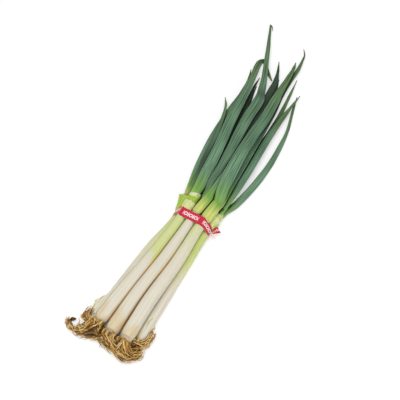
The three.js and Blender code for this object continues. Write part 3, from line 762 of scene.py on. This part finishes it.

# ---------------------------------------------------------------- roots
# Each plant ends in a disc that many fine white roots grew from. They have dried to tan wires, which turn
# over the disc's rim and are swept sideways along one common mat, painted dark inside for the shade
# between the roots.
#
# A disc is given by its middle and its radius. A fan's ends are the mat's edge, where its longest roots
# end. Lift is how far its roots rise over the disc's rim, loose how far they part from each other, and
# inset how far in from the edge they may run.
ROOTS = {
    "1": {"disc": (-39.5, -205, 9, 7), "fans": [
        {"count": 70, "lift": 2, "ends": [(-50, -214, 10), (-60, -212, 8), (-61, -204, 8), (-59, -192, 6),
                                          (-58, -184, 5)]},
        {"count": 60, "lift": 1, "loose": 0.5, "inset": 0.13, "ends": [
            (-48, -229, 7), (-58, -232, 5), (-67, -230, 4), (-76, -226, 4), (-78.5, -220, 5),
            (-72, -217, 6)]}]},
    "2": {"disc": (-17, -211, 9.5, 7), "fans": [
        {"count": 30, "lift": 2, "ends": [(-24, -221, 4), (-38, -227, 2), (-50, -233, 2)]},
        {"count": 30, "lift": 1, "loose": 0.5, "ends": [(-31, -184, 5), (-31, -197, 6), (-30, -209, 6)]},
        {"count": 30, "lift": 1, "loose": 0.5, "ends": [(-1, -184, 5), (1, -199, 6), (2, -218, 6)]}]},
    "3": {"disc": (7.5, -212, 9.5, 7), "fans": [
        {"count": 30, "lift": 2, "ends": [(10, -224, 4), (24, -233, 2), (36, -230, 2)]},
        {"count": 30, "lift": 1, "loose": 0.5, "ends": [(24, -184, 5), (25, -197, 6), (27, -215, 6)]}]},
    "4": {"disc": (29.3, -203, 8.5, 7), "fans": [
        {"count": 75, "lift": 2, "ends": [(37, -210, 8), (43, -204, 6), (44, -191, 6), (42, -177, 6),
                                          (35, -175, 6)]}]},
    "5": {"disc": (-29, -211, 28, 8), "fans": [
        {"count": 110, "lift": 3, "ends": [(-40, -223, 14), (-50, -234, 6), (-57, -231, 5), (-58, -223, 6),
                                           (-57, -215, 8)]},
        {"count": 110, "lift": 3, "ends": [(-30, -221, 12), (-23, -224, 6), (-8, -229, 4), (10, -233, 3)]}]},
    "6": {"disc": (-5.5, -219, 28, 8), "fans": [
        {"count": 80, "lift": 2, "ends": [(-12, -226, 10), (-24, -225, 5), (-40, -229, 4), (-52, -234, 3)]},
        {"count": 120, "lift": 4, "ends": [(-2, -228, 10), (10, -232, 5), (28, -235, 5), (38, -229, 5),
                                           (45, -216, 6)]}]},
    "7": {"disc": (18, -216, 26, 8), "fans": [
        {"count": 110, "lift": 3, "ends": [(24, -226, 12), (34, -230, 6), (45, -217, 6), (40, -207, 7),
                                           (42, -193, 7)]},
        {"count": 60, "lift": 2, "ends": [(14, -227, 10), (2, -230, 6), (-14, -226, 5)]}]},
}
ROOT_POINTS = 18
ROOT_RADIUS = 0.65
ROOT_BENDS = {"scale": 0.08, "by": 4}
ROOT_KINKS = {"scale": 0.2, "by": 1.8}
ROOTS_IN_LOCK = 2
ROOTS_OVER_RIM = 0.15
PALE_ROOTS = 0.4
ROOTS_INSET = 0.75
EDGE_POINTS = 60
MAT_CELLS = (26, 18)
MAT_STEPS = 20
MAT_ENDS = 18  # the step where the mat ends, inside the fan's edge, so that the roots stand out of it
MAT_DEPTH = 2.2
MAT_THICK = 2.5
MAT_LOW = 0.3


def dry_root(name):
    """Dried root: a dull golden fibre, paler or browner from one to the next, with shade painted dark deep in
    the mat.
    """
    material, add = new_material(name, Roughness=0.6, IOR=1.45, Specular_IOR_Level=0.2)
    tone = add("Attribute", output="Fac", attribute_name="tone")
    place = add("TexCoord", output="Object")
    patches = grain(add, place, (9.1 * MM, 9.1 * MM, 9.1 * MM), 2.0)
    toned = add("Math", [tone, -0.25], operation="ADD")
    shade = add("Math", [patches, 0.5, toned], operation="MULTIPLY_ADD")
    colour = add("ValToRGB", [shade], stops=[
        (0.0, "5A3A14"), (0.3, "AC7C32"), (0.6, "DDB05E"), (1.0, "F4E0AC")])
    # Painted shade: dark brown where the other roots close round the fibre.
    openness = add("AmbientOcclusion", {"Distance": 4 * MM}, "AO", samples=12)
    deep = add("MapRange", [openness, 0.1, 0.4, 0.9, 0.0], **SMOOTH)
    add("Mix", {0: deep, 6: colour, 7: "2C1A06"}, **BLEND, to="Base Color")
    return material


def matted_root(name):
    """The inside of the mat: fine broken roots in dark and golden streaks, the dark being shade painted deep
    between the roots.
    """
    material, add = new_material(name, Roughness=0.9, Specular_IOR_Level=0.1)
    uv = add("TexCoord", output="UV")
    fibres = grain(add, uv, (1.43, 14.3, 1.0), 4.0)
    tone = add("MapRange", [fibres, 0.35, 0.7], **SMOOTH)
    add("ValToRGB", [tone], stops=[(0.0, "2A1A09"), (0.45, "553917"), (1.0, "946C34")], to="Base Color")
    add("Bump", {"Height": fibres, "Strength": 1.0, "Distance": 1.5 * MM}, to="Normal")
    return material


def swept(start, edge, reach, inset, lift):
    """Points of a root that leaves its disc, turns over the rim and runs along the mat's edge or inside."""
    out = start + Vector((0, -3.5, lift * 0.4))
    along = []
    for share in (0.4, 0.75, 1.0):
        beside = edge[round(EDGE_POINTS * reach * share)]
        along.append(beside.lerp(start, inset * (1.3 - share)) + Vector((0, 0, lift * (1.2 - share))))
    return curve_points([start, out, *along], ROOT_POINTS - 1)


def grow_root(spline, path, seed, loose, thick):
    """Lays one root along a path, with the bends that its own seed gives it, thinner towards its end."""
    spline.points.add(ROOT_POINTS - 1)
    own = seed + loose * 1.2
    for i, point in enumerate(spline.points):
        share = i / (ROOT_POINTS - 1)
        place = path[i] + loose * 2.2 * share
        at = place * ROOT_BENDS["scale"]
        bends = Vector((noise(at + own), noise(at + own.zxy), noise(at - own)))
        place += bends * ROOT_BENDS["by"] * min(1, share * 1.6)
        at = place * ROOT_KINKS["scale"]
        kinks = Vector((noise(at + own), noise(at - own), noise(at + own.yzx)))
        place += kinks * ROOT_KINKS["by"] * min(1, share * 3)
        place.z = max(place.z, 0.7 + abs(loose.z) * 0.5)
        point.co = (*(place * MM), 1)
        point.radius = thick * (1 - 0.5 * share) * MM


def set_uv(piece, places):
    """Sets a piece's UV map from a place for each of its vertices."""
    uv = piece.data.uv_layers[0].data
    for loop in piece.data.loops:
        uv[loop.index].uv = places[loop.vertex_index]


def root_mat(fan, edge, centre, girth):
    """The lumpy mat that a fan's roots lie on, from its disc to its edge. Its UV map is in millimetres."""
    mat = flat_grid("root_mat", MAT_CELLS)
    places = {}
    for vertex in mat.data.vertices:
        side, down = vertex.co.x + 0.5, vertex.co.y + 0.5
        landing = edge[round(side * EDGE_POINTS)]
        leaving = centre + Vector((max(-girth, min(girth, landing.x - centre.x)) * 0.8, 0, 0))
        leaving = landing.lerp(leaving, fan.get("inset", ROOTS_INSET) / ROOTS_INSET)
        slope = curve_points([leaving, leaving + Vector((0, -3, 1)), landing], MAT_STEPS)
        place = slope[round(down * MAT_ENDS)]
        places[vertex.index] = (side * (edge[-1] - edge[0]).length, down * (landing - leaving).length)
        place += Vector((0, 0, -MAT_DEPTH + 3.0 * noise(place * 0.25) + 1.5 * noise(place * 0.7)))
        place.z = max(place.z, MAT_THICK + 0.3 * (1 - down))
        vertex.co = place * MM
    set_uv(mat, places)
    thicken(mat, MAT_THICK - 0.5, -1)
    # Only a mat that has come out upside down is turned: on one that folds over itself, recalculated
    # normals would point inwards.
    upper_side = mat.data.polygons[: MAT_CELLS[0] * MAT_CELLS[1]]
    if sum(face.normal.z * face.area for face in upper_side) < 0:
        face_outwards(mat)
    keep_above(mat, MAT_LOW)
    mat.data.materials.append(mat_surface)
    return mat


strand_surface = dry_root("dried_root_fibre")
mat_surface = matted_root("matted_roots_painted_dark")
for key, roots in ROOTS.items():
    chance = random.Random(int(key) + 20)
    *centre, girth = roots["disc"]
    centre = Vector(centre)
    curve = bpy.data.curves.new(f"roots_{key}", "CURVE")
    curve.dimensions = "3D"
    curve.bevel_depth = 1.0
    curve.bevel_resolution = 0
    curve.use_fill_caps = True
    tones = []
    mats = []
    for fan in roots["fans"]:
        edge = curve_points(fan["ends"], EDGE_POINTS)
        for _ in range(fan["count"] // ROOTS_IN_LOCK):
            angle = chance.uniform(0, 2 * math.pi)
            outwards = Vector((math.cos(angle), 0, math.sin(angle)))
            if chance.random() < ROOTS_OVER_RIM:
                outwards.z = abs(outwards.z)
                leaving = centre + outwards * girth * 1.05
                leaving.y += chance.uniform(0, 4)
            else:
                leaving = centre + outwards * math.sqrt(chance.random()) * girth
            lift = fan["lift"] * chance.uniform(0.5, 1.6)
            reach = chance.uniform(0.35, 1.0) ** 0.7
            inset = chance.uniform(0, fan.get("inset", ROOTS_INSET))
            seed = Vector((chance.uniform(-50, 50), chance.uniform(-50, 50), chance.uniform(-50, 50)))
            pale = chance.random() < PALE_ROOTS
            tone = chance.uniform(0.65, 1) if pale else chance.uniform(0, 0.45)
            lift += 1.5 * pale
            for _ in range(ROOTS_IN_LOCK):
                parted = [max(-1.5, min(1.5, chance.gauss(0, 1))) for _ in range(3)]
                loose = Vector(parted) * fan.get("loose", 1)
                path = swept(leaving + loose * 0.8, edge, reach * chance.uniform(0.85, 1), inset, lift)
                thick = ROOT_RADIUS * chance.uniform(0.55, 1.2)
                grow_root(curve.splines.new("POLY"), path, seed, loose, thick)
                tones.append(tone)
        mats.append(root_mat(fan, edge, centre, girth))
    tuft = bpy.data.objects.new(f"roots_{key}_tuft", curve)
    bpy.context.collection.objects.link(tuft)
    select_only(tuft)
    bpy.ops.object.convert(target="MESH")
    each = len(tuft.data.vertices) // len(tones)
    add_values(tuft, "tone", [tones[i // each] for i in range(len(tuft.data.vertices))])
    tuft.data.materials.clear()
    tuft.data.materials.append(strand_surface)
    smooth(tuft)
    for mat in mats:
        mat.select_set(True)
    bpy.ops.object.join()
    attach(tuft, "root")
    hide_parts(f"roots_{key}")

# ---------------------------------------------------------------- tape
# One strip of plastic film round all seven stems, red on its printed face and white behind. Its two ends
# are twisted together on the right and stand out from the twist as small pleated fans.
#
# The band starts and ends at the twist, at these two angles round the bunch from +X, and is pinched within
# some degrees of it. On the left it lies aslant, further up the stems. A tail's points are x, y and z, half
# its width, and the depth of its pleats.
TAPE_WIDTH = 15.5
TAPE_MIDDLE = 1.3
TAPE_ANGLES = (12, 348)
TAPE_PINCH = {"reach": 22, "share": 0.28, "pleat": 0.35}
TAPE_ASLANT = {"at": 165, "reach": 38, "by": 6}
TAPE_THICK = 0.4
TAPE_AIR = 0.4
TAPE_STEP = 3
TAPE_CELL = 1.2
TAPE_ACROSS = 12
TAIL_STEPS = 14
TAIL_TOP = [(34.3, 3.0, 10.6, 2.0, 0.8), (36.0, 5.5, 11.0, 3.4, 1.0), (38.5, 9.0, 11.4, 5.0, 1.1),
            (41.5, 12.5, 11.5, 6.0, 0.9)]
TAIL_LOW = [(34.3, 1.0, 9.2, 2.0, 0.8), (35.8, 1.0, 8.4, 3.2, 1.0), (37.8, 1.5, 7.6, 4.4, 1.2),
            (40.0, 3.0, 7.2, 5.4, 1.0)]
MARK_STEP = 8.6
RING_RADIUS = 2.4
RING_HALF = 0.75
BAR_FROM = 3.6
BAR_HALF = 3.4
TAPE_COLOURS = {"red": "B81C34", "worn": "C62E46", "print": "F2E3E2", "reverse": "EDE6DC"}


def printed_film(name):
    """Glossy red plastic film with rings and bars printed on it in white, in groups of three."""
    material, add = new_material(name, Roughness=0.45, IOR=1.48, Specular_IOR_Level=0.3)
    uv = add("TexCoord", output="UV")
    along = add("SeparateXYZ", [uv], "X")
    across = add("SeparateXYZ", [uv], "Y")
    marks_along = add("Math", [along, MARK_STEP], operation="DIVIDE")
    in_mark = add("Math", [marks_along], operation="FRACT")
    step = add("Math", [in_mark, MARK_STEP, -0.5 * MARK_STEP], operation="MULTIPLY_ADD")
    height = add("Math", [across, TAPE_WIDTH, -0.5 * TAPE_WIDTH], operation="MULTIPLY_ADD")
    from_middle = add("CombineXYZ", [step, height])
    from_mark = add("VectorMath", [from_middle], "Value", operation="LENGTH")
    ring = add("Math", [from_mark, RING_RADIUS, RING_HALF], operation="COMPARE")
    beside = add("Math", [step], operation="ABSOLUTE")
    above = add("Math", [height], operation="ABSOLUTE")
    wide = add("Math", [beside, BAR_FROM], operation="GREATER_THAN")
    high = add("Math", [above, BAR_HALF], operation="LESS_THAN")
    bar = add("Math", [wide, high], operation="MULTIPLY")
    marks = add("Math", [ring, bar], operation="MAXIMUM")
    groups_along = add("Math", [along, MARK_STEP * 4], operation="DIVIDE")
    in_group = add("Math", [groups_along], operation="FRACT")
    grouped = add("Math", [in_group, 0.75], operation="LESS_THAN")
    shown = add("Math", [grouped, 0.9], operation="MULTIPLY")
    printed = add("Math", [marks, shown], operation="MULTIPLY")
    worn = grain(add, uv, (1.43, 1 / 9, 1.0), 2.0)
    wear = add("MapRange", [worn, 0.4, 0.7], **SMOOTH)
    red = add("Mix", {0: wear, 6: TAPE_COLOURS["red"], 7: TAPE_COLOURS["worn"]}, **BLEND)
    add("Mix", {0: printed, 6: red, 7: TAPE_COLOURS["print"]}, **BLEND, to="Base Color")
    return material


def film_strip(name, stations):
    """A strip from stations of (middle, across, outwards, half width, pleat), and its UV map, which is in
    millimetres along it and from 0 to 1 across."""
    piece = flat_grid(name, (len(stations) - 1, TAPE_ACROSS))
    run = [0.0]
    for before, after in zip(stations, stations[1:]):
        run.append(run[-1] + (after[0] - before[0]).length)
    places = {}
    for vertex in piece.data.vertices:
        i = round((vertex.co.x + 0.5) * (len(stations) - 1))
        v = vertex.co.y * 2
        places[vertex.index] = (run[i], (v + 1) / 2)
        middle, across, outwards, half, pleat = stations[i]
        point = middle + across * half * v + outwards * pleat * math.cos(v * 3 * math.pi)
        point.z = max(point.z, TAPE_THICK)
        vertex.co = point * MM
    set_uv(piece, places)
    return piece


def band_stations():
    """Stations round the stems, where the band is stretched straight from each one to the next."""
    stems = []
    for route in shank_routes.values():
        at_tape = min(route, key=lambda p: abs(p.y - TAPE_MIDDLE * MM)) / MM
        stems.append((at_tape.x, at_tape.z, SQUEEZED / 2 + TAPE_AIR))
    corners = []
    first, last = TAPE_ANGLES
    for degrees in range(first, last + 1, TAPE_STEP):
        outwards = Vector((math.cos(math.radians(degrees)), 0, math.sin(math.radians(degrees))))
        x, z, radius = max(stems, key=lambda s: s[0] * outwards.x + s[1] * outwards.z + s[2])
        open_share = min(1, min(degrees - first, last - degrees) / TAPE_PINCH["reach"])
        opened = 1 - TAPE_PINCH["share"] * (1 - math.sin(open_share * math.pi / 2))
        aslant = TAPE_ASLANT["by"] * math.exp(-(((degrees - TAPE_ASLANT["at"]) / TAPE_ASLANT["reach"]) ** 2))
        middle = Vector((x, TAPE_MIDDLE + aslant, z)) + outwards * radius
        corners.append((middle, outwards, TAPE_WIDTH / 2 * opened, TAPE_PINCH["pleat"] * (1 - open_share)))
    upward = Vector((0, 1, 0))
    stations = [(corners[0][0], upward, *corners[0][1:])]
    for before, after in zip(corners, corners[1:]):
        cells = max(1, round((after[0] - before[0]).length / TAPE_CELL))
        for i in range(1, cells + 1):
            middle, outwards, half, pleat = [a + (b - a) * (i / cells) for a, b in zip(before, after)]
            stations.append((middle, upward, outwards.normalized(), half, pleat))
    return stations


def tail_stations(points, side):
    """Stations along one end of the tape, from the twist outwards."""
    stations = []
    heading = (Vector(points[-1][:3]) - Vector(points[0][:3])).normalized()
    across = heading.cross(Vector((0, 0, 1))).normalized() * side
    for i, middle in enumerate(curve_points([p[:3] for p in points], TAIL_STEPS)):
        half, pleat = [eased([p[column] for p in points], i / TAIL_STEPS) for column in (3, 4)]
        stations.append((middle, across, across.cross(heading).normalized(), half, pleat))
    return stations


film_face = printed_film("red_printed_film")
# The film's reverse isn't printed: plain white plastic with a slight gloss.
film_back = new_material("white_film_reverse", Roughness=0.4, IOR=1.48,
                         Base_Color=linear(TAPE_COLOURS["reverse"]))[0]
for name, stations in {
    "tape_band": band_stations(),
    "tape_tail_top": tail_stations(TAIL_TOP, 1),
    "tape_tail_low": tail_stations(TAIL_LOW, -1),
}.items():
    strip = film_strip(name, stations)
    strip.data.materials.append(film_back)
    strip.data.materials.append(film_face)
    thicken(strip, TAPE_THICK, 1, material_offset=1)
    smooth(strip)
    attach(strip, "root")
    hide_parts("tape")
